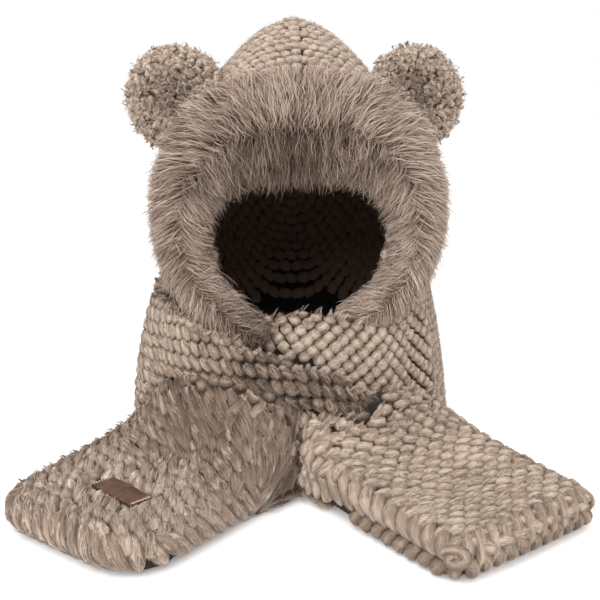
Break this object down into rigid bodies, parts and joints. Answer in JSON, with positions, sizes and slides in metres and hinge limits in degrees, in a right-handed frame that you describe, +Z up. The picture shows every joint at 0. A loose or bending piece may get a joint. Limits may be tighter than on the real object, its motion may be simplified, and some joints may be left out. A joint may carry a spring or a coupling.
{
  "type": "animal hood scarf",
  "caption": "Chunky knitted animal-ear hood with a fur face trim and a built-in scarf, wound round the neck and laid out in front",
  "frame": {"origin": "centre of the neck opening, on the surface that the hood scarf stands on", "axes": "+X to the right as seen from in front, -Y the way the face looks, +Z up"},
  "size_m": [0.4721, 0.4479, 0.403],
  "materials": {
    "knit": "soft chunky chenille knit, matt",
    "fleece": "long soft fleece pile, matt",
    "fur": "long fur with lighter tips, slight sheen",
    "plush": "curly plush, matt",
    "leather": "smooth brown leather, satin"
  },
  "bodies": {
    "root": {"hood": "knit", "neck_wrap": "knit", "ribbed_end": "knit", "fleece_end": "fleece", "fur_trim": "fur", "ear_left": "plush", "ear_right": "plush", "leather_patch": "leather"}
  },
  "joints": []
}
